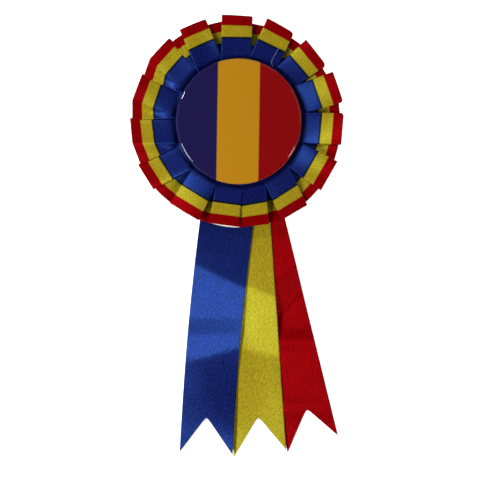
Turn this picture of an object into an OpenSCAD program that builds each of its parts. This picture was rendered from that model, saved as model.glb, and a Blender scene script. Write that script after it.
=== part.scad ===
// Ribbon cockade: a button badge on a pleated ribbon ruffle, a card disc, three
// swallow-tailed ribbons and a brooch pin. All sizes are in millimetres.
// It lies on its back: the badge faces +Z, 12 o'clock is +Y and the tails run to -Y.
// The middle of the badge is on the Z axis, and the pin and the tails touch Z = 0.

/* [Badge] */
// diameter of the badge
badge_d = 58; // [40:1:80]
// height from the badge's back edge to the middle of its face
badge_h = 6.3; // [4:0.1:12]
// how much the face rises from its edge to its middle
face_rise = 1.5; // [0:0.1:4]
// radius of the rolled edge
roll_r = 2.6; // [1.5:0.1:4]
// thickness of the badge's shell
shell_t = 0.8; // [0.3:0.1:1.5]
// thickness of the badge's back plate
plate_t = 0.6; // [0.3:0.1:1.5]

/* [Ruffle] */
// width of the ruffle's ribbon
ribbon_w = 25; // [15:0.5:40]
// thickness of every ribbon
ribbon_t = 1; // [0.4:0.1:2]
// radius where neighbouring folds meet beside the badge
meet_r = 31; // [27:0.5:38]
// how far a fold's middle rises above its two sides at the rim
fold_puff = 0.7; // [0:0.1:3]
// height from the lowest to the topmost layer under the badge
pressed_h = 2.6; // [2.3:0.1:6]

/* [Card] */
// diameter of the backing card
card_d = 93.6; // [80:0.2:100]
// thickness of the backing card
card_t = 1.5; // [0.8:0.1:3]
// how far the card sits to the right of the badge's middle
card_x = -1.2; // [-4:0.1:4]
// how far the card sits above the badge's middle
card_y = -1.6; // [-4:0.1:4]

/* [Tails] */
// width of each tail
tail_w = 25; // [15:0.5:40]
// how far the tails' glued ends reach above the badge's middle
tail_top = 10; // [4:1:30]
// angle of the blue tail from straight down
blue_lean = -5.1; // [-20:0.1:20]
// angle of the yellow tail
yellow_lean = 4; // [-20:0.1:20]
// angle of the red tail
red_lean = 13.7; // [-20:0.1:25]
// distance from the badge's middle to the tails' points
tip_u = 157; // [100:1:250]
// distance from the badge's middle to the middle of the cut
notch_u = 139.5; // [90:1:240]
// angle of the bends across the tails
bend_lean = 12; // [-30:1:30]
// distance to the bend where the tails start to fall from the card's level
fall_q = 74; // [60:1:100]
// distance to the bend where they reach the surface
land_q = 105; // [80:1:130]

/* [Pin] */
// length of the brooch pin
pin_l = 34; // [20:1:50]
// width of its bar
pin_w = 6; // [3:0.5:10]
// its height off the surface it lies on
pin_h = 4.4; // [3:0.1:8]
// radius of its needle
needle_r = 0.45; // [0.3:0.05:0.8]

/* [Hidden] */
$fn = 96;
gap = 0.1;
level = ribbon_t + gap;
red_z = pin_h + gap;
card_z = red_z + 3 * level;
ruffle_z = card_z + card_t + gap;
base_z = ruffle_z + ribbon_t / 2;
badge_z = ruffle_z + ribbon_t + pressed_h + gap;

// The folds of the ruffle, one row each, clockwise from 12 o'clock. Columns:
// 0 angle and 1 radius of the outer corner on the anticlockwise side,
// 2 angle and 3 radius of the outer corner on the clockwise side,
// 4 height of the anticlockwise side and 5 of the clockwise side above the lowest layer,
// 6 outer radius of the strip that shows between this fold and the next,
// 7 angle at which this fold meets the next one beside the badge.
FOLDS = [
    [ -8.8, 49.9,   7.4, 48.9, 5.4, 4.6, 46.0,  10.0],
    [ 15.6, 49.4,  31.7, 48.2, 5.4, 4.4, 46.1,  35.0],
    [ 39.4, 48.8,  57.0, 48.0, 5.4, 4.4, 46.3,  57.5],
    [ 62.1, 48.9,  78.9, 49.0, 5.4, 4.6, 47.2,  82.5],
    [ 85.5, 48.3, 102.3, 48.3, 5.2, 5.2, 47.6, 108.5],
    [111.9, 48.9, 129.6, 49.2, 5.2, 4.8, 48.3, 132.0],
    [140.5, 49.6, 156.1, 49.2, 4.8, 5.2, 48.7, 156.5],
    [163.7, 49.0, 179.4, 48.8, 5.2, 4.4, 48.6, 177.0],
    [180.3, 48.6, 196.3, 48.7, 5.6, 4.8, 48.8, 199.5],
    [202.3, 48.9, 220.4, 49.0, 5.2, 5.2, 49.2, 224.5],
    [231.8, 50.0, 246.4, 50.3, 5.2, 4.2, 49.4, 249.5],
    [258.2, 49.9, 271.3, 50.0, 5.2, 4.2, 49.2, 273.5],
    [280.9, 50.0, 295.7, 49.6, 5.2, 4.2, 49.0, 297.0],
    [304.8, 50.2, 319.6, 50.0, 5.2, 4.4, 48.1, 321.5],
    [327.4, 50.2, 342.1, 49.8, 5.4, 4.8, 46.5, 345.0]
];
n_folds = len(FOLDS);
meet_gap = 0.6;
roll_gap = 0.3;

// The stations of one fold along the ribbon, [part, position]. Part 0 turns up under the
// fold's middle, 1 turns over its anticlockwise side, 2 is its top, 3 turns down over
// its clockwise side, 4 turns back under its middle and 5 is the strip after it.
STATIONS = [
    [0, -90], [0, -30], [0, 30], [0, 90],
    [1, -90], [1, -30], [1, 30], [1, 90],
    [2, -0.5], [2, 0], [2, 0.5],
    [3, 90], [3, 30], [3, -30], [3, -90],
    [4, 90], [4, 30], [4, -30], [4, -90],
    [5, 0]
];
n_stations = len(STATIONS);

// a point at a clock angle and a radius
function at_clock(a, r) = [r * sin(a), r * cos(a)];
function mix(a, b, t) = a + (b - a) * t;

// row r of a fold runs across the ribbon: 0 its outer edge, 1 beside the badge, 2 its inner edge
function fold_r(k) = (FOLDS[k][1] + FOLDS[k][3]) / 2;
function inner_r(k) = fold_r(k) - ribbon_w + 0.1;
function left_pt(k, r) =
    r == 0 ? at_clock(FOLDS[k][0], FOLDS[k][1])
           : at_clock(FOLDS[(k + n_folds - 1) % n_folds][7] + meet_gap,
                      r == 1 ? meet_r : inner_r(k));
function right_pt(k, r) =
    r == 0 ? at_clock(FOLDS[k][2], FOLDS[k][3])
           : at_clock(FOLDS[k][7] - meet_gap, r == 1 ? meet_r : inner_r(k));
function side_h(k, r, side) = r == 0 ? FOLDS[k][side < 0 ? 4 : 5] : pressed_h;

// the radius of each of the two rolls that a side's height is made of
function roll(k, r, side) = side_h(k, r, side) / 4;

// along the fold from its middle, height, layer (0 lowest to 1 top) and the way off the ribbon
function in_fold(k, r, st, w) =
    let (side = st[0] < 2 ? -1 : 1, rho = roll(k, r, side), a = st[1],
         edge = w / 2 - ribbon_t / 2 - rho, mid = roll_gap + ribbon_t / 2 + rho)
    st[0] == 0 ? [-mid + rho * cos(a), rho + rho * sin(a), (a + 90) / 360, -cos(a), -sin(a)] :
    st[0] == 1 ? [-edge - rho * cos(a), 3 * rho + rho * sin(a), 0.5 + (a + 90) / 360,
                  -cos(a), sin(a)] :
    st[0] == 3 ? [edge + rho * cos(a), 3 * rho + rho * sin(a), 0.5 + (a + 90) / 360,
                  cos(a), sin(a)] :
    st[0] == 4 ? [mid - rho * cos(a), rho + rho * sin(a), (a + 90) / 360, cos(a), -sin(a)] :
    let (rl = roll(k, r, -1), rr = roll(k, r, 1), h = w / 2 - ribbon_t / 2, t = (1 + a) / 2)
    [mix(-h + rl, h - rr, t),
     mix(4 * rl, 4 * rr, t) + (r == 0 ? fold_puff * (1 - a * a) : 0), 1, 0, 1];

// the ribbon's point in a fold, off its middle surface by d
function fold_pt(k, r, st, d) =
    let (p0 = left_pt(k, r), p1 = right_pt(k, r), w = norm(p1 - p0), e = (p1 - p0) / w,
         f = in_fold(k, r, st, w),
         strip = FOLDS[st[0] < 2 ? (k + n_folds - 1) % n_folds : k][6],
         out = at_clock((FOLDS[k][0] + FOLDS[k][2]) / 2, 1),
         p = (p0 + p1) / 2 + e * (f[0] + f[3] * d) - out * ((1 - f[2]) * (fold_r(k) - strip)))
    [p[0], p[1], base_z + f[1] + f[4] * d];

// the ribbon's point in the strip after a fold
function strip_pt(k, r, d) =
    let (next = k == n_folds - 1 ? FOLDS[0][0] + 360 : FOLDS[k + 1][0],
         a = (FOLDS[k][2] + next) / 2, strip = FOLDS[k][6],
         p = at_clock(a, r == 0 ? strip : r == 1 ? strip - fold_r(k) + meet_r
                                        : strip - ribbon_w + 0.1))
    [p[0], p[1], base_z + d];

function ribbon_pt(k, s, r, d) =
    STATIONS[s][0] == 5 ? strip_pt(k, r, d) : fold_pt(k, r, STATIONS[s], d);

// The bent slab that all three tails are cut from, level by level: how far down the tails, height
BENDS = [[-40, red_z], [fall_q, red_z], [land_q, 0], [tip_u + 40, 0]];
n_bends = len(BENDS);

// the subpart to draw

// the badge's printed shell: a domed face and a rolled edge
function shell_arc(r) =
    let (c = [badge_d / 2 - roll_r, badge_z + badge_h - face_rise - roll_r],
         low = -asin((c[1] - badge_z) / roll_r))
    [for (a = [84 : -(84 - low) / 12 : low - 0.01]) [c[0] + r * cos(a), c[1] + r * sin(a)]];
function face_curve(top, x1) =
    [for (i = [0 : 8]) let (x = x1 * i / 8) [x, top - face_rise * (x / x1) * (x / x1)]];

module badge_shell() {
    x1 = badge_d / 2 - roll_r;
    top = badge_z + badge_h;
    outer = concat(face_curve(top, x1), shell_arc(roll_r));
    inner = concat(face_curve(top - shell_t, x1), shell_arc(roll_r - shell_t));
    color([0.50, 0.33, 0.08])
    rotate_extrude()
    polygon(concat(outer, [for (i = [len(inner) - 1 : -1 : 0]) inner[i]]));
}

// the badge's plain back plate, pressed into the shell's open side
module badge_back() {
    color([0.75, 0.75, 0.77])
    translate([0, 0, badge_z])
    cylinder(r = badge_d / 2 - roll_r + 0.7, h = plate_t);
}

// one long ribbon, box-pleated into a closed ring of folds
module pleated_ribbon() {
    pts = [for (k = [0 : n_folds - 1], s = [0 : n_stations - 1], i = [0 : 5])
        ribbon_pt(k, s, i < 3 ? i : 5 - i, (i < 3 ? 1 : -1) * ribbon_t / 2)];
    n = n_folds * n_stations;
    color([0.10, 0.15, 0.55])
    polyhedron(points = pts, faces = [for (s = [0 : n - 1], i = [0 : 5])
        let (t = (s + 1) % n, j = (i + 1) % 6)
        each [[s * 6 + i, t * 6 + i, t * 6 + j], [s * 6 + i, t * 6 + j, s * 6 + j]]],
        convexity = 10);
}

// the card disc that everything is glued to
module backing_card() {
    color([0.93, 0.92, 0.88])
    translate([card_x, card_y, card_z])
    cylinder(d = card_d, h = card_t);
}

// a bent slab at one level
module bent(n) {
    z = n * level;
    low = [for (i = [0 : n_bends - 1]) [BENDS[i][0], BENDS[i][1] + z]];
    high = [for (i = [n_bends - 1 : -1 : 0]) [BENDS[i][0], BENDS[i][1] + z + ribbon_t]];
    rotate([90, 0, -90 - bend_lean])
    linear_extrude(height = 260, center = true)
    polygon(concat(low, high));
}

// a tail: the bent slab cut to the ribbon's outline with its swallow-tail end
module tail(n, lean) {
    h = tail_w / 2;
    intersection() {
        bent(n);
        rotate([0, 0, lean])
        translate([-1, 0, -5])
        linear_extrude(height = 40)
        polygon([[-h, tail_top], [-h, -tip_u], [0, -notch_u], [h, -tip_u], [h, tail_top]]);
    }
}

module blue_tail() {
    color([0.12, 0.25, 0.62]) tail(2, blue_lean);
}

module yellow_tail() {
    color([0.72, 0.68, 0.15]) tail(1, yellow_lean);
}

module red_tail() {
    color([0.60, 0.03, 0.05]) tail(0, red_lean);
}

// the brooch pin at the back, one piece: bar, hinge block, catch and needle
module brooch_pin() {
    bar_t = 0.9;
    x = pin_l / 2;
    color([0.75, 0.75, 0.77])
    union() {
        translate([-x, -pin_w / 2, pin_h - bar_t]) cube([pin_l, pin_w, bar_t]);
        translate([-x, -2, 0]) cube([3, 4, pin_h]);
        translate([x - 2.5, -2, 0]) cube([2.5, 4, pin_h]);
        translate([-x + 1, 0, 1.2]) rotate([0, 90, 0]) cylinder(r = needle_r, h = pin_l - 2);
    }
}

badge_shell();
badge_back();
pleated_ribbon();
backing_card();
blue_tail();
yellow_tail();
red_tail();
brooch_pin();
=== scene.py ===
import math

import bmesh
import bpy
import numpy as np
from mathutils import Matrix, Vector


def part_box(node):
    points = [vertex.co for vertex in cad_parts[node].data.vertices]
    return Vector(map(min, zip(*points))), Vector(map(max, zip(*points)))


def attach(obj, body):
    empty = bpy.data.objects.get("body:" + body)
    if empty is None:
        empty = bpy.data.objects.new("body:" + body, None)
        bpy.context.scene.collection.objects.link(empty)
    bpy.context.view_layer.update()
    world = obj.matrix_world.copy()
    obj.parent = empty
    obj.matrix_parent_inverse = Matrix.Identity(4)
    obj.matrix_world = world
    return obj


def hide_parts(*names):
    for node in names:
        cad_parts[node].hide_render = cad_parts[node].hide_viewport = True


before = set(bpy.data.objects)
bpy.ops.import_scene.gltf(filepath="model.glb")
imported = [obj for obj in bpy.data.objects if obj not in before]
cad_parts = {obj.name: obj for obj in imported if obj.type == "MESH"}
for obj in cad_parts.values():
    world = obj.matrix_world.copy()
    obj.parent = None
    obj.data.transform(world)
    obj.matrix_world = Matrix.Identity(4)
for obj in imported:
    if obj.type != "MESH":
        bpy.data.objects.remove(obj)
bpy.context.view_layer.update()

# ---------------------------------------------------------------- camera, light and floor
# The cockade lies face up on a pale table. The camera hangs straight over the middle of the
# photograph, which is 480 pixels wide and shows 0.46 mm a pixel at the height of the badge's rim.
photo_mm = 0.46
rim_below = 0.600  # from the camera down to the badge's rim, in metres
camera_over = (0.0006, -0.0546, 0.617)
camera = bpy.data.objects.new("camera", bpy.data.cameras.new("camera"))
camera.location = camera_over
camera.data.sensor_width = 36
camera.data.lens = camera.data.sensor_width * rim_below / (480 * photo_mm / 1000)
camera.data.clip_start = 0.01
bpy.context.scene.collection.objects.link(camera)
bpy.context.scene.camera = camera


def softbox(name, place, size, watts):
    """An area light at place that faces the middle of the cockade: its -Z axis lies along the
    line between the two."""
    lamp = bpy.data.lights.new(name, "AREA")
    lamp.shape, lamp.size, lamp.size_y = "RECTANGLE", size[0], size[1]
    lamp.energy = watts
    ob = bpy.data.objects.new(name, lamp)
    ob.location = place
    away = np.array(place, float) - np.array((0, -0.05, 0), float)
    ob.rotation_euler = (math.atan2(math.hypot(away[0], away[1]), away[2]), 0,
                         math.atan2(away[0], -away[1]))
    bpy.context.scene.collection.objects.link(ob)


# three softboxes lay the shine on the satin, and three weak windows fill in the rest
softbox("left_softbox", (-2.059, -0.967, 2.01), (0.80, 0.90), 70.0)
softbox("right_softbox", (2.178, -0.975, 1.85), (0.50, 0.70), 28.0)
softbox("back_softbox", (-1.759, 1.070, 1.83), (0.24, 0.24), 24.0)
softbox("left_window", (-2.6, 0.15, 1.7), (1.6, 1.0), 3.5)
softbox("right_window", (2.5, 0.9, 2.0), (1.6, 1.2), 7.0)
softbox("back_window", (0.5, 2.5, 2.6), (1.6, 1.2), 7.0)

world = bpy.data.worlds.new("studio")
world.use_nodes = True
world.node_tree.nodes["Background"].inputs["Color"].default_value = (1, 1, 1, 1)
world.node_tree.nodes["Background"].inputs["Strength"].default_value = 0.12
bpy.context.scene.world = world
bpy.context.scene.view_settings.view_transform = "Standard"


def material(name, metallic=0.0, rough=0.5, spec=0.5, coat=0.0, coat_rough=0.1):
    """A new node material; gives its node tree, its shader node and the material itself."""
    m = bpy.data.materials.new(name)
    m.use_nodes = True
    shader = m.node_tree.nodes["Principled BSDF"]
    shader.inputs["Metallic"].default_value = metallic
    shader.inputs["Roughness"].default_value = rough
    shader.inputs["Specular IOR Level"].default_value = spec
    shader.inputs["Coat Weight"].default_value = coat
    shader.inputs["Coat Roughness"].default_value = coat_rough
    return m.node_tree, shader, m


tree, shader, table_paint = material("table_paint", rough=0.7, spec=0.2)
shader.inputs["Base Color"].default_value = (0.86, 0.86, 0.86, 1)
shader.inputs["Emission Color"].default_value = (1, 1, 1, 1)
shader.inputs["Emission Strength"].default_value = 0.75
floor_mesh = bpy.data.meshes.new("table")
floor_mesh.from_pydata([(-3, -3, 0), (3, -3, 0), (3, 3, 0), (-3, 3, 0)], [], [(0, 1, 2, 3)])
floor = bpy.data.objects.new("table", floor_mesh)
floor_mesh.materials.append(table_paint)
bpy.context.scene.collection.objects.link(floor)


# ---------------------------------------------------------------- badge
# A pressed steel button badge, 58 mm across: a printed sheet under clear film is drawn over
# the domed shell and rolled under its edge, and a plain plate closes the back.
def grid_piece(name, points, wrap_rows=False, wrap_cols=False, uv=None, ends=False):
    """A mesh of four-sided faces over an array of points, rows by columns, joined end to end
    along either way if asked. uv holds two numbers for each row and column, one more of each
    where the grid is joined. ends closes a flat skin's first and last row across its thickness:
    column j is joined to column j counted from the far end."""
    rows, cols = points.shape[:2]
    i = np.arange(rows if wrap_rows else rows - 1)[:, None]
    j = np.arange(cols if wrap_cols else cols - 1)[None, :]
    corner = np.stack([np.stack(np.broadcast_arrays(a, b), -1).reshape(-1, 2) for a, b in (
        (i, j), (i + 1, j), (i + 1, j + 1), (i, j + 1))], 1)
    if ends:
        k = np.arange(cols // 2 - 1)
        for row, order in ((0, (0, 1, 2, 3)), (rows - 1, (1, 0, 3, 2))):
            cap = np.stack([k, k + 1, cols - 2 - k, cols - 1 - k], 1)[:, order]
            corner = np.concatenate([corner, np.stack([cap * 0 + row, cap], -1)])
    faces = (corner[..., 0] % rows) * cols + corner[..., 1] % cols
    mesh = bpy.data.meshes.new(name)
    mesh.vertices.add(rows * cols)
    mesh.vertices.foreach_set("co", points.reshape(-1))
    mesh.loops.add(faces.size)
    mesh.loops.foreach_set("vertex_index", faces.reshape(-1))
    mesh.polygons.add(len(faces))
    mesh.polygons.foreach_set("loop_start", np.arange(0, faces.size, 4))
    mesh.polygons.foreach_set("use_smooth", np.ones(len(faces), bool))
    mesh.update(calc_edges=True)
    if uv is not None:
        mesh.uv_layers.new(name="cloth").data.foreach_set(
            "uv", uv[corner[..., 0], corner[..., 1]].reshape(-1))
    ob = bpy.data.objects.new(name, mesh)
    bpy.context.scene.collection.objects.link(ob)
    return ob


def merged_poles(ob):
    """The piece with the points that fall together on its axis made one."""
    mesh = bmesh.new()
    mesh.from_mesh(ob.data)
    bmesh.ops.remove_doubles(mesh, verts=mesh.verts, dist=1e-7)
    mesh.to_mesh(ob.data)
    mesh.free()
    return ob


def turned(name, profile, steps=384):
    """A surface turned round the Z axis: each point (r, z) of a profile that starts and ends on
    the axis goes round."""
    a = np.linspace(0, 2 * np.pi, steps, endpoint=False)
    r, z = profile[:, 0], profile[:, 1]
    p = np.stack([np.outer(r, np.cos(a)), np.outer(r, np.sin(a)),
                  np.repeat(z[:, None], steps, 1)], -1)
    return merged_poles(grid_piece(name, p, wrap_cols=True))


badge_low, badge_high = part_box("badge_shell")
badge_r, badge_top, badge_foot = badge_high[0], badge_high[2], badge_low[2]
# radius of the arc over the rim, height of the dome, thickness of the tin, curl of the foot
roll, rise, tin, curl = 0.0014, 0.0014, 0.0006, 0.0011


def badge_line(inset):
    """The badge's section: a shallow parabola from the middle to the shoulder, a tight arc over
    the rim, and a side that curls in towards its foot; inset moves it inwards."""
    shoulder = badge_r - roll
    centre_z = badge_top - rise - roll
    x = np.linspace(0, shoulder, 22)
    face = np.stack([x, badge_top - inset - rise * (x / shoulder) ** 2], -1)
    a = np.linspace(math.radians(84), 0, 36)
    arc = np.stack([shoulder + (roll - inset) * np.cos(a),
                    centre_z + (roll - inset) * np.sin(a)], -1)
    t = np.linspace(0, 1, 14)[1:]
    side = np.stack([badge_r - inset - curl * t ** 3, centre_z + (badge_foot - centre_z) * t], -1)
    return np.concatenate([face, arc, side])


badge = turned("badge_face", np.concatenate([badge_line(0), badge_line(tin)[::-1]]))
tree, shader, badge_print = material("badge_print", rough=0.8, spec=0.0, coat=1.0, coat_rough=0.03)
shader.inputs["Coat IOR"].default_value = 1.42
nodes, links = tree.nodes, tree.links
where = nodes.new("ShaderNodeTexCoord")
print_turn = 0.9  # degrees by which the stripes lean
turn = nodes.new("ShaderNodeMapping")
turn.inputs["Rotation"].default_value = (0, 0, math.radians(print_turn))
across = nodes.new("ShaderNodeSeparateXYZ")
links.new(where.outputs["Object"], turn.inputs["Vector"])
links.new(turn.outputs["Vector"], across.inputs["Vector"])


def ramp(tree, value, low, high, stops):
    """A colour ramp over a value from low to high; stops are (value, colour)."""
    spread = tree.nodes.new("ShaderNodeMapRange")
    spread.inputs["From Min"].default_value, spread.inputs["From Max"].default_value = low, high
    band = tree.nodes.new("ShaderNodeValToRGB")
    points = band.color_ramp.elements
    for n, (at, colour) in enumerate(stops):
        e = points[n] if n < 2 else points.new(1)
        e.position, e.color = (at - low) / (high - low), colour
    tree.links.new(value, spread.inputs["Value"])
    tree.links.new(spread.outputs["Result"], band.inputs["Fac"])
    return band.outputs["Color"]


ink_blue = (0.0100, 0.0060, 0.0600, 1)
ink_yellow = (0.44, 0.199, 0.0055, 1)
ink_red = (0.217, 0.0, 0.0012, 1)
printed = ramp(tree, across.outputs["X"], -0.030, 0.030, [
    (-0.0100, ink_blue), (-0.00965, ink_yellow), (0.0092, ink_yellow), (0.00955, ink_red)])
links.new(printed, shader.inputs["Base Color"])
badge.data.materials.append(badge_print)
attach(badge, "root")
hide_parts("badge_shell")


# ---------------------------------------------------------------- back plate and pin
# The plate pressed into the back of the badge, and the brooch pin glued behind the card. Both are
# plated steel with a fine grain, and both keep the shapes of their solids.
tree, shader, plated_steel = material("plated_steel", metallic=1.0, rough=0.28)
nodes, links = tree.nodes, tree.links
where = nodes.new("ShaderNodeTexCoord")
grain = nodes.new("ShaderNodeTexNoise")
grain.inputs["Scale"].default_value = 900
grain.inputs["Detail"].default_value = 3
links.new(where.outputs["Object"], grain.inputs["Vector"])
links.new(ramp(tree, grain.outputs["Fac"], 0.3, 0.7, [
    (0.3, (0.50, 0.50, 0.51, 1)), (0.7, (0.66, 0.66, 0.67, 1))]), shader.inputs["Base Color"])
for name in ("badge_back", "brooch_pin"):
    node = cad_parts[name]
    node.data.materials.clear()
    node.data.materials.append(plated_steel)


# ---------------------------------------------------------------- ruffle
# One 25 mm satin ribbon, woven with a red, a yellow and a blue stripe. It is box-pleated into
# a ring of flat folds, its blue edge glued under the badge. On the left the folds have opened,
# so that each strip between two folds lies over the fold before it.
ribbon_w, cloth_t = 0.025, 0.00032
ruffle_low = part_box("pleated_ribbon")[0][2] + 0.0002
ribbon_mm = 25
meet_r = 30.5  # radius of the line beside the badge where the folds' sides meet, in mm
glued_h = 2.8  # height of a fold where it goes under the badge's rim, in mm
# One row a fold, clockwise from 12 o'clock, in degrees and millimetres: angle and radius of the
# anticlockwise corner, angle and radius of the clockwise corner, height of the anticlockwise and
# of the clockwise side, radius of the strip after it, angle where it meets the next fold beside
# the badge, puff of the top, how its anticlockwise side (0 folded under, 1 open) and its
# clockwise side (0 folded under, 1 tucked under the next strip) are made.
folds = np.array([
    [-8.8, 50.2,   7.4, 49.2, 4.4, 4.2, 46.1,  10.0, 0.5, 0, 0],
    [15.6, 49.7,  31.7, 48.5, 4.8, 3.8, 46.1,  35.0, 0.5, 0, 0],
    [39.4, 49.1,  57.0, 48.3, 4.8, 3.8, 46.3,  57.5, 0.5, 0, 0],
    [62.1, 49.2,  78.9, 49.3, 5.2, 3.3, 47.2,  82.5, 0.5, 0, 0],
    [85.5, 48.6, 102.3, 48.6, 5.9, 2.9, 47.6, 108.5, 0.4, 0, 0],
    [111.9, 49.2, 129.6, 49.5, 4.4, 3.5, 48.3, 132.0, 0.7, 0, 0],
    [140.5, 49.9, 156.1, 49.5, 3.4, 5.2, 48.7, 156.5, -0.4, 0, 0],
    [163.7, 49.2, 179.6, 48.8, 4.4, 3.4, 48.4, 177.0, 0.3, 0, 0],
    [180.2, 48.5, 196.3, 48.7, 5.0, 4.4, 48.8, 199.5, 0.3, 0, 0],
    [202.3, 49.2, 220.4, 49.3, 5.3, 3.2, 49.2, 224.5, 0.5, 0, 0],
    [231.8, 50.3, 246.4, 50.6, 4.3, 2.1, 49.4, 249.5, 0.6, 0, 1],
    [258.2, 50.2, 271.3, 50.3, 4.6, 3.4, 49.2, 273.5, 0.4, 1, 1],
    [280.9, 50.3, 295.7, 49.9, 4.5, 3.2, 49.0, 297.0, 0.6, 1, 1],
    [304.8, 50.5, 319.6, 50.3, 4.4, 4.3, 48.1, 321.5, 0.6, 1, 1],
    [327.4, 50.5, 342.1, 50.1, 5.0, 3.5, 47.3, 345.0, 1.0, 0, 0],
])


def clock(a, r):
    """Points at angles a, clockwise from 12 o'clock, and radii r."""
    return np.stack([r * np.sin(np.radians(a)), r * np.cos(np.radians(a))], -1)


n_folds = len(folds)
left_a, left_r, right_a, right_r, left_h, right_h, strip_r, meet_a, puff, opened, tucked = folds.T
fold_r = (left_r + right_r) / 2
prev, following = np.roll(np.arange(n_folds), 1), np.roll(np.arange(n_folds), -1)
rows = 33
across = np.linspace(0, 1, rows)
meet_at = (fold_r - meet_r) / ribbon_mm


def rule(outer, meet, inner):
    """Points across the ribbon between three that are given for each fold: straight from the
    outer edge to the meeting line beside the badge and from there to the inner edge, with the
    corner between the two rounded a little."""
    t = across[None, :, None]
    m = meet_at[:, None, None]
    a = outer[:, None] + (meet - outer)[:, None] * (t / m)
    b = meet[:, None] + (inner - meet)[:, None] * ((t - m) / (1 - m))
    s = np.clip((t - m) / 0.12 + 0.5, 0, 1)
    return a * (1 - s) + b * s


# how far each fold runs on past the angle where it meets the next, or stops short, in degrees
over_l = np.where(opened > 0, -0.35, 0.25)
over_r = np.where(tucked > 0, -0.35, 0.25)
at_badge = np.full(n_folds, meet_r)
inner_r = fold_r - (ribbon_mm - 0.1)
corner_l = rule(clock(left_a, left_r), clock(meet_a[prev] - over_l, at_badge),
                clock(meet_a[prev] - over_l, inner_r))
corner_r = rule(clock(right_a, right_r), clock(meet_a + over_r, at_badge),
                clock(meet_a + over_r, inner_r))
wide = np.linalg.norm(corner_r - corner_l, axis=-1, keepdims=True)
along = (corner_r - corner_l) / wide
middle = (corner_r + corner_l) / 2


def lift(side_h, pressed):
    """Height of a fold's side across the ribbon: full at the outer edge, eased to its height
    beside the badge, where it turns down steeply to go under the rim."""
    t = np.clip(across[None] / meet_at[:, None], 0, 1)
    ease = t * t * (3 - 2 * t) * 0.45 + t * 0.55
    beyond = across[None] - meet_at[:, None]
    fall = np.clip((beyond + 0.05) / 0.09, 0, 1)
    down = (pressed[:, None] - glued_h) * fall ** 2 * (3 - 2 * fall)
    return side_h[:, None] * (1 - ease) + pressed[:, None] * ease - down


def bow(centre, radius, a):
    """Points of a half turn: centre plus radius times the cosine and sine of the angles a."""
    return centre[0] + radius * np.cos(a), centre[1] + radius * np.sin(a)


half = wide[..., 0] / 2
# heights beside the badge: a share of the tilt that the outer edge has, and for the folds at the
# left a height of their own
twist = 0.3 * (left_h - right_h)
pressed_l, pressed_r = 4.9 + twist, 4.9 - twist
pressed_l[[11, 12, 13]], pressed_r[[10, 11, 12, 13]] = (5.0, 5.4, 4.8), (2.6, 3.8, 2.8, 4.4)
zl, zr = lift(left_h, pressed_l), lift(right_h, pressed_r)
# radii of the bends at the two sides, of the bend under the middle and of a tucked side, and
# how far from the fold's middle the cloth below it stops
edge_l, edge_r = np.minimum(0.32, zl / 5), np.minimum(0.32, zr / 5)
core, tuck, mid_gap = 0.30, 0.25, 0.3
n_bend, n_flap, n_top = 9, 5, 25
turn_up = np.radians(np.linspace(-90, 90, n_bend))
flap = np.linspace(0.15, 0.85, n_flap)
stations = []  # distance from the fold's middle, height and layer, for every fold and row


def put(d, z, w):
    """One more station."""
    stations.append((d + 0 * half, z + 0 * half, w + 0 * half))


def either(folded, run_on):
    """The first value for the folds with a clockwise side folded under, and the second for
    those where it is tucked under the next strip."""
    return (1 - tucked[:, None]) * folded + tucked[:, None] * run_on


# the anticlockwise side of a box pleat: up under the middle, out under the top, over the edge
for a in turn_up:
    t = (a + np.pi / 2) / np.pi
    put(*bow((-(mid_gap + core), core), core, a), 0.4 * t)
for t in flap:
    put(-(mid_gap + core) * (1 - t) - (half - edge_l) * t,
        2 * core * (1 - t) + (zl - 2 * edge_l) * t, 0.4 + 0.3 * t)
for a in turn_up:
    t = (a + np.pi / 2) / np.pi
    put(*bow((-(half - edge_l), zl - edge_l), edge_l, np.pi - a), 0.7 + 0.3 * t)
# the top, which on a tucked fold runs on a little under the next strip
top_from, top_to = -(half - edge_l) + 0.2, either(half - edge_r - 0.2, half + 0.25)
low_edge = np.clip(1 - across[None] / meet_at[:, None], 0, 1)
for t in np.linspace(0, 1, n_top):
    swell = (4 * t * (1 - t)) ** 0.8 * puff[:, None] * (0.2 + 0.8 * low_edge)
    put(top_from + (top_to - top_from) * t, zl + (zr - zl) * t + swell, 1.0)
# the clockwise side: over the edge and back under, or tucked and folded up over itself
for a in turn_up[::-1]:
    t = (np.pi / 2 - a) / np.pi
    d, z = bow((half - edge_r, zr - edge_r), edge_r, a)
    d2, z2 = bow((half + 0.4, zr + tuck), tuck, -a)
    put(either(d, d2), either(z, z2), 1 - 0.3 * t)
for t in flap:
    put(either((half - edge_r) * (1 - t) + (mid_gap + core) * t, half + 0.4 - 0.3 * t),
        either((zr - 2 * edge_r) * (1 - t) + 2 * core * t, zr + 2 * tuck),
        either(0.7 - 0.3 * t, 0.7 - 0.5 * t))
for a in turn_up[::-1]:
    t = (np.pi / 2 - a) / np.pi
    d, z = bow((mid_gap + core, core), core, np.pi - a)
    d2, z2 = bow((half + 0.1, zr + 3 * tuck), tuck, np.pi + a)
    put(either(d, d2), either(z, z2), either(0.4, 0.2) * (1 - t))

d, z, w = (np.stack([s[i] for s in stations], 1) for i in range(3))  # fold, station, row
n_side, top_start = len(stations), 2 * n_bend + n_flap
mid_a = (left_a + right_a) / 2
out = clock(mid_a, np.ones(n_folds))
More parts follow.
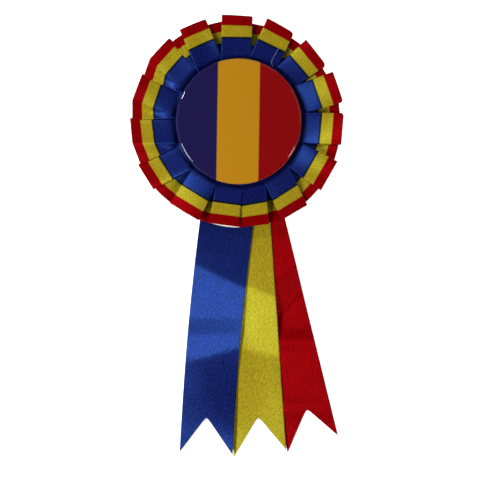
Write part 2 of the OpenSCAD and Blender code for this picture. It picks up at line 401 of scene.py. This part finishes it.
# how far in the lowest layer lies, so that the strip between two folds has the radius given
span = np.radians((mid_a[following] - mid_a) % 360)
reach = np.where(tucked > 0, strip_r, strip_r / np.cos(span / 2))
tab_mid = fold_r * np.cos(np.radians((right_a - left_a) / 2))
in_before = np.maximum(tab_mid - reach[prev], 0.3)
in_after = np.maximum(np.where(tucked > 0, fold_r - strip_r, tab_mid - reach), 0.3)
before = (np.arange(n_side) < top_start)[None, :]
drop = np.where(before, in_before[:, None], in_after[:, None])
shift = (1 - w) * drop[..., None]
# a few outer corners are rounded: pulled in along a quarter circle, less and less inwards
round_l, round_r = np.zeros(n_folds), np.zeros(n_folds)
round_r[[1, 2, 3]], round_l[4] = (1.5, 1.7, 1.2), 1.2
pull = 0
for size, from_side in ((round_l, half[:, None] + d), (round_r, half[:, None] - d)):
    size = size[:, None, None] + 1e-6
    q = np.clip(1 - from_side / size, 0, 1)
    pull = pull + size * (1 - np.sqrt(1 - q * q)) * np.clip(1 - across / 0.16, 0, 1)
shift = shift + pull * (w > 0.6)
plan = middle[:, None] + along[:, None] * d[..., None] - out[:, None, None] * shift[..., None]
path = np.concatenate([plan, z[..., None]], -1)
# the strip from each fold to the next, bowed out to its radius halfway and arched up
n_gap, arch = 10, 1.8
steps = (np.arange(1, n_gap + 1) / (n_gap + 1))[None, :, None, None]
a, b = path[:, -1][:, None], np.roll(path[:, 0], -1, 0)[:, None]
half_way = clock(mid_a + np.degrees(span / 2), np.ones(n_folds))
bow_out = np.maximum(strip_r - np.linalg.norm((a + b)[:, 0, 0, :2] / 2, axis=-1), 0)
lean_out = np.concatenate([half_way * bow_out[:, None], np.zeros((n_folds, 1))], -1)
gap = a + (b - a) * steps + lean_out[:, None, None] * 4 * steps * (1 - steps)
gap[..., 2] += (arch * 4 * steps * (1 - steps))[..., 0] * np.clip(1.2 - across / 0.6, 0, 1)
path = np.concatenate([path, gap], 1).reshape(-1, rows, 3)
# an opened side is one flat facet: from the hard edge over the fold before it to the kink
each = n_side + n_gap
for f in np.flatnonzero(opened):
    first, last = (f - 1) * each + n_side - 1, f * each + top_start
    t = np.linspace(0, 1, last - first + 1)[:, None, None]
    path[first:last + 1] = path[first] * (1 - t) + path[last] * t
# sharp bends softened: each point moves halfway to the mean of its neighbours along the ribbon
path = 0.5 * path + 0.25 * (np.roll(path, 1, 0) + np.roll(path, -1, 0))
# small waves that the hand leaves in the cloth: sums of sines along the ribbon and across it
s = np.linspace(0, 2 * np.pi, len(path), endpoint=False)[:, None]
hand = (np.sin(47 * s + 2.0 * across) + np.sin(31 * s + 1.3 - 3.1 * across)) * 0.05
path[..., 2] += hand * np.clip(1 - across / 0.75, 0, 1) * np.clip(path[..., 2] / 3, 0, 1)
path = path / 1000
path[..., 2] += ruffle_low


def both_sides(path, thick, wrap):
    """A thin closed skin round a surface: every point moved half the thickness either way
    along the surface's normal, and the two sides joined at the edges."""
    if wrap:
        du = np.roll(path, -1, 0) - np.roll(path, 1, 0)
    else:
        du = np.gradient(path, axis=0)
    dv = np.gradient(path, axis=1)
    n = np.cross(du, dv)
    n /= np.maximum(np.linalg.norm(n, axis=-1, keepdims=True), 1e-12)
    return np.concatenate([path + n * thick / 2, (path - n * thick / 2)[:, ::-1]], 1)


def cloth_uv(path, wrap, width):
    """Metres along the ribbon and across it, for both sides of a skin, one more row and column
    than the points where the skin is joined."""
    closed = np.concatenate([path, path[:1]]) if wrap else path
    mid = closed[:, closed.shape[1] // 3]
    u = np.concatenate([[0], np.cumsum(np.linalg.norm(np.diff(mid, axis=0), axis=1))])
    v = np.linspace(0, width, path.shape[1])
    v = np.concatenate([v, v[::-1], v[:1]])
    return np.stack(np.broadcast_arrays(u[:, None], v[None]), -1), u[-1]


uv, ruffle_length = cloth_uv(path, True, ribbon_w)
ruffle = grid_piece("ruffle", both_sides(path, cloth_t, True), wrap_rows=True, wrap_cols=True,
                    uv=uv)


def satin(name, colour, metal, gloss, slope, pitch, bite):
    """Satin ribbon: its long floats lie along it and spread the shine across it, and a fine rib
    slants over them, slope degrees from straight across, pitch metres apart, broken into dashes.
    colour, metal and gloss are values or functions of the tree and of the distance across the
    ribbon: the dye, how far it tints the shine as it does metal, and the tint of the rest. bite,
    from 0 to 1, is how far the rib and the specks between its threads lighten and darken the
    dye."""
    tree, shader, m = material(name, rough=0.440, spec=1.0)
    nodes, links = tree.nodes, tree.links
    cloth = nodes.new("ShaderNodeUVMap")
    cloth.uv_map = "cloth"
    split = nodes.new("ShaderNodeSeparateXYZ")
    links.new(cloth.outputs["UV"], split.inputs["Vector"])
    mix = nodes.new("ShaderNodeMix")
    mix.data_type, mix.blend_type = "RGBA", "MULTIPLY"
    for socket, value in ((shader.inputs["Metallic"], metal), (mix.inputs["A"], colour),
                          (shader.inputs["Specular Tint"], gloss), (mix.inputs["Factor"], bite)):
        if callable(value):
            links.new(value(tree, split.outputs["Y"]), socket)
        else:
            socket.default_value = value
    slant = nodes.new("ShaderNodeMapping")
    slant.inputs["Rotation"].default_value = (0, 0, math.radians(slope))
    links.new(cloth.outputs["UV"], slant.inputs["Vector"])

    def noise(scale, detail, vector=slant.outputs["Vector"], rough=0.5):
        """Noise over the slanted weave, stretched by the two scales."""
        fit = nodes.new("ShaderNodeMapping")
        fit.inputs["Scale"].default_value = (*scale, 1)
        links.new(vector, fit.inputs["Vector"])
        n = nodes.new("ShaderNodeTexNoise")
        n.inputs["Scale"].default_value, n.inputs["Detail"].default_value = 1, detail
        n.inputs["Roughness"].default_value = rough
        links.new(fit.outputs["Vector"], n.inputs["Vector"])
        return n.outputs["Fac"]

    def combine(kind, a, b, c=0.0):
        """One arithmetic node over numbers or sockets."""
        n = nodes.new("ShaderNodeMath")
        n.operation = kind
        for i, v in enumerate((a, b, c)):
            if isinstance(v, (int, float)):
                n.inputs[i].default_value = v
            else:
                links.new(v, n.inputs[i])
        return n.outputs["Value"]

    wave_pitch = 0.31416  # metres between the wave node's bands at a scale of 1
    rib = nodes.new("ShaderNodeTexWave")
    rib.inputs["Scale"].default_value = wave_pitch / pitch
    rib.inputs["Distortion"].default_value = 1.5
    rib.inputs["Detail"].default_value = 2
    rib.inputs["Detail Scale"].default_value = 1.6
    links.new(slant.outputs["Vector"], rib.inputs["Vector"])
    dashes = noise((0.9 / pitch, 0.45 / pitch), 1)
    weave = combine("MULTIPLY", rib.outputs["Fac"], combine("MULTIPLY_ADD", dashes, 3.0, -0.5))
    speck = noise((1150, 1150), 2, cloth.outputs["UV"], 0.7)
    fine = combine("MULTIPLY_ADD", speck, 4.0, combine("ADD", weave, -1.2))
    mottle = noise((130, 220), 2, cloth.outputs["UV"])
    shade = combine("MULTIPLY_ADD", mottle, 0.6, fine)
    dark, light = 0.6, 2.6  # between these the cloth goes from its darkest to its lightest
    links.new(ramp(tree, shade, dark, light, [
        (dark, (0.15, 0.15, 0.15, 1)), (light, (1.85, 1.85, 1.85, 1))]), mix.inputs["B"])
    links.new(mix.outputs["Result"], shader.inputs["Base Color"])
    bump = nodes.new("ShaderNodeBump")
    bump.inputs["Strength"].default_value = 0.15
    bump.inputs["Distance"].default_value = 0.00005
    links.new(fine, bump.inputs["Height"])
    links.new(bump.outputs["Normal"], shader.inputs["Normal"])
    lie = nodes.new("ShaderNodeTangent")
    lie.direction_type, lie.uv_map = "UV_MAP", "cloth"
    links.new(lie.outputs["Tangent"], shader.inputs["Tangent"])
    shader.inputs["Anisotropic"].default_value = 0.99
    shader.inputs["Anisotropic Rotation"].default_value = 0.25
    return m


# each colour's dye, how far it tints the shine, and the tint of the rest of the shine
dyes = {"red": (0.235, 0.0002, 0.0016, 1), "yellow": (0.352, 0.253, 0.0102, 1),
        "blue": (0.0096, 0.0128, 0.168, 1)}
tinted = {"red": 0.22, "yellow": 0.12, "blue": 0.6}
shines = {"red": (0.20, 0.004, 0.006, 1), "yellow": (0.58, 0.90, 0.08, 1),
          "blue": (0.11, 0.63, 0.62, 1)}


def by_stripe(values, seam=None):
    """A function that gives a value for each of the ruffle's three woven stripes, by the
    distance from its outer edge, and one for the dark line where blue threads cross yellow."""
    red, yellow, blue = (values[c] if isinstance(values[c], tuple) else (values[c],) * 3 + (1,)
                         for c in ("red", "yellow", "blue"))
    return lambda tree, across: ramp(tree, across, 0, ribbon_w, [
        (0.00450, red), (0.00480, yellow), (0.0096, yellow), (0.0100, seam or blue),
        (0.0105, seam or blue), (0.0108, blue)])


ruffle.data.materials.append(
    satin("striped_satin", by_stripe(dyes, (0.004, 0.010, 0.020, 1)),
          by_stripe(tinted, (0.6, 0.6, 0.6, 1)), by_stripe(shines, (0.05, 0.10, 0.12, 1)), 38,
          0.0009, by_stripe({"red": 0.30, "yellow": 0.36, "blue": 0.65})))
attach(ruffle, "root")
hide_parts("pleated_ribbon")


# ---------------------------------------------------------------- card
# A disc of plain white card, cut by hand a little smaller than the ruffle, that carries
# everything. It shows as a thin line under the ruffle.
card_low, card_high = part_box("backing_card")
card_x, card_y = (card_low[0] + card_high[0]) / 2, (card_low[1] + card_high[1]) / 2
card_r = (card_high[0] - card_low[0]) / 2 - 0.0006
a = np.linspace(0, 2 * np.pi, 240, endpoint=False)
cut = card_r * (1 + 0.004 * np.sin(3 * a + 1.0) + 0.0025 * np.sin(7 * a)
                + 0.0015 * np.sin(13 * a + 2))
# the two places where it peeks out: how far, the angle and the width of it in degrees
for peek, toward, spread in ((0.0007, 268, 15), (0.0008, 239, 4)):
    cut = cut + peek * np.exp(-((a - math.radians(toward)) / math.radians(spread)) ** 2)
rings = np.array([[0, 0], [0.6, 0], [0.998, 0], [1.0, 0.08], [1.0, 0.92], [0.998, 1.0],
                  [0.6, 1], [0, 1]])
card_t = card_high[2] - card_low[2]
points = np.stack([
    card_x + rings[:, :1] * cut * np.cos(a), card_y + rings[:, :1] * cut * np.sin(a),
    card_low[2] + rings[:, 1:] * card_t + 0 * a], -1)
card = merged_poles(grid_piece("card_disc", points[::-1], wrap_cols=True))


def linear(r, g, b):
    """An 8-bit screen colour as a linear one: each channel by the screen's own curve."""
    c = np.array((r, g, b), float) / 255
    c = np.where(c <= 0.04045, c / 12.92, ((c + 0.055) / 1.055) ** 2.4)
    return (float(c[0]), float(c[1]), float(c[2]), 1.0)


tree, shader, card_stock = material("card_stock", rough=0.75, spec=0.3)
nodes, links = tree.nodes, tree.links
where = nodes.new("ShaderNodeTexCoord")
pulp = nodes.new("ShaderNodeTexNoise")
pulp.inputs["Scale"].default_value = 700
pulp.inputs["Detail"].default_value = 4
links.new(where.outputs["Object"], pulp.inputs["Vector"])
links.new(ramp(tree, pulp.outputs["Fac"], 0.3, 0.7, [
    (0.3, linear(226, 216, 198)), (0.7, linear(246, 240, 228))]), shader.inputs["Base Color"])
card.data.materials.append(card_stock)
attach(card, "root")
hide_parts("backing_card")


# ---------------------------------------------------------------- tails
# Three lengths of the same satin, blue over yellow over red, each glued behind the card and cut
# to a swallow-tail. They run level from the card, fall towards the table and end level over it.
tail_length, hidden = 0.1665, 10  # of each ribbon, in metres, and of its part above the middle, mm


def bent(x, y, top, foot, creases, swells, over=None, edge=(0, 0)):
    """Height of a tail at a place, in mm. It starts at top, a value and its slope across. Below
    each crease, a line (x, y, y per x), the fall gets steeper by so much per mm, over a rounded
    bend: half of t plus the root of t squared plus r squared, with t the distance below the line.
    It comes to rest on foot, and swells are low humps: (x, y, width, length, height). Under the
    tail whose shape is over, as far as its edge (x, x per y), it stays half a millimetre lower."""
    def soft(t, r):
        return 0.5 * (t + np.sqrt(t * t + r * r))

    z = top[0] + top[1] * x
    for x0, y0, lean, steeper, r in creases:
        z = z - steeper * soft(y0 + lean * (x - x0) - y, r)
    z = foot + soft(z - foot, 0.35)
    for x0, y0, rx, ry, h in swells:
        z = z + h * np.exp(-((x - x0) / rx) ** 2 - ((y - y0) / ry) ** 2)
    if over:
        lid = bent(x, y, *over) - 0.42 + 0.4 * soft(x - edge[0] - edge[1] * y, 0.5)
        z = lid - soft(lid - z, 0.15)
    return z


def tail(name, node, start_x, lean, bend, tips, notch, shape, dye, slope, pitch, bite):
    """A tail: lines along the ribbon from its glued end to its cut, m of them across. A point is
    the axis at its distance, plus its place across, plus the height there. The axis starts at
    start_x, leans by so many degrees and bows sideways by bend. tips are the distances of the two
    tips, and notch is the distance and the place across of the notch, in mm."""
    n, m, half_w = 240, 41, ribbon_mm / 2
    v = np.linspace(-1, 1, m)
    nv = notch[1] / half_w
    t = np.where(v < nv, (nv - v) / (nv + 1), (v - nv) / (1 - nv))
    t = np.sqrt(t * t + 0.05 ** 2) - 0.05 * (1 - t)
    t = t / t.max()
    end = notch[0] + np.where(v < nv, tips[0] - notch[0], tips[1] - notch[0]) * t
    u = -hidden + (end[None] + hidden) * np.linspace(0, 1, n)[:, None]
    side = half_w * v[None] + bend * np.sin(np.pi * np.clip((u - 45) / 112, 0, 1))
    a = math.radians(lean)
    x = start_x + u * math.sin(a) + side * math.cos(a)
    y = -u * math.cos(a) + side * math.sin(a)
    z = bent(x, y, *shape)
    path = np.stack([x, y, z], -1) / 1000
    uv, _ = cloth_uv(path, False, ribbon_w)
    uv[:, :m, 0], uv[:, m:2 * m, 0], uv[:, 2 * m, 0] = u / 1000, u[:, ::-1] / 1000, u[:, 0] / 1000
    ob = grid_piece(name, both_sides(path, cloth_t, False), wrap_cols=True, uv=uv, ends=True)
    ob.data.materials.append(satin(name + "_satin", dyes[dye], tinted[dye], shines[dye], slope,
                                   pitch, bite))
    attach(ob, "root")
    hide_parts(node)


# what bent takes for each tail: top, foot, creases, swells, and the tail over it with its edge
blue_shape = (
    (6.3, -0.035), 1.0,
    [(0, -76.0, -0.50, 0.145, 1.0), (0, -90.8, 0.02, -0.085, 1.2),
     (0, -99.8, -0.02, 0.085, 1.2), (0, -105.2, 0.30, -0.165, 1.0)],
    [(-20, -54, 8, 10, 0.4), (-22, -112, 6, 10, 0.3), (-7, -144, 14, 21, 1.4),
     (10, -113, 17, 28, -1.2)])
yellow_shape = (
    (5.5, -0.03), 1.0,
    [(0, -75.1, -0.38, 0.145, 1.0), (0, -107.3, -0.10, -0.162, 1.2)],
    [(16, -126, 5, 12, 0.3), (3, -117, 7, 14, 0.3), (2, -93, 5, 14, -1.0),
     (1, -145, 9, 24, 1.5)],
    blue_shape, (11.5, 0.0892))
red_shape = (
    (4.6, 0.0), 0.90,
    [(19.8, -71.4, 0.87, 0.20, 2.0), (22.0, -92.5, 0.98, -0.19, 2.0)],
    [(28, -102.5, 30, 4.5, 0.75), (36, -113, 12, 9, 0.6), (30, -134, 20, 5, 0.6)],
    yellow_shape, (11.9, -0.07))
tail("blue_ribbon", "blue_tail", start_x=-1.5, lean=-5.1, bend=-1.2, tips=(156.4, 155.0),
     notch=(139.1, -0.7), shape=blue_shape, dye="blue", slope=-50, pitch=0.00095, bite=1.0)
tail("yellow_ribbon", "yellow_tail", start_x=-0.9, lean=4.0, bend=0.0, tips=(156.6, 154.8),
     notch=(138.9, 0.4), shape=yellow_shape, dye="yellow", slope=-62, pitch=0.0010, bite=0.50)
tail("red_ribbon", "red_tail", start_x=-2.1, lean=13.8, bend=0.0, tips=(156.6, 154.5),
     notch=(139.1, 1.2), shape=red_shape, dye="red", slope=-68, pitch=0.0013, bite=0.42)


# ---------------------------------------------------------------- stray thread
# A pale loose thread, as thin as a hair, such as a ribbon's cut edge sheds. It lies over the
# second fold, and nothing holds it but the badge's rim, which one end of it goes under.
line = np.array([[18.6, 34.0], [17.9, 33.1], [16.9, 31.3], [15.6, 28.9], [15.1, 27.6],
                 [15.3, 26.6], [15.9, 25.3]]) / 1000
n_along, thread_r = 60, 0.00006
t = np.linspace(0, 1, n_along)
spot = np.stack([np.interp(t, np.linspace(0, 1, len(line)), line[:, i]) for i in (0, 1)], -1)
# its height is that of the highest cloth within 0.9 mm and a little more, smoothed along it
near = np.linalg.norm(path[None, ..., :2] - spot[:, None, None], axis=-1) < 0.0009
height = np.where(near, path[None, ..., 2], 0).max((1, 2)) + 0.00035
for _ in range(12):
    height[1:-1] = 0.5 * height[1:-1] + 0.25 * (height[:-2] + height[2:])
    spot[1:-1] = 0.5 * spot[1:-1] + 0.25 * (spot[:-2] + spot[2:])
a = np.linspace(0, 2 * np.pi, 8, endpoint=False)
go = np.gradient(spot, axis=0)
go /= np.linalg.norm(go, axis=1, keepdims=True)
size = np.full((n_along, 1), thread_r)
size[[0, -1]] = 0
points = np.stack([
    spot[:, :1] + go[:, 1:] * size * np.cos(a), spot[:, 1:] - go[:, :1] * size * np.cos(a),
    height[:, None] + size * np.sin(a)], -1)
thread = merged_poles(grid_piece("stray_thread", points[:, ::-1], wrap_cols=True))
tree, shader, pale_thread = material("pale_thread", rough=0.5, spec=0.5)
nodes, links = tree.nodes, tree.links
where = nodes.new("ShaderNodeTexCoord")
ply = nodes.new("ShaderNodeTexNoise")
ply.inputs["Scale"].default_value = 1500
links.new(where.outputs["Object"], ply.inputs["Vector"])
links.new(ramp(tree, ply.outputs["Fac"], 0.3, 0.7, [
    (0.3, (0.30, 0.33, 0.46, 1)), (0.7, (0.46, 0.48, 0.60, 1))]), shader.inputs["Base Color"])
thread.data.materials.append(pale_thread)
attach(thread, "root")
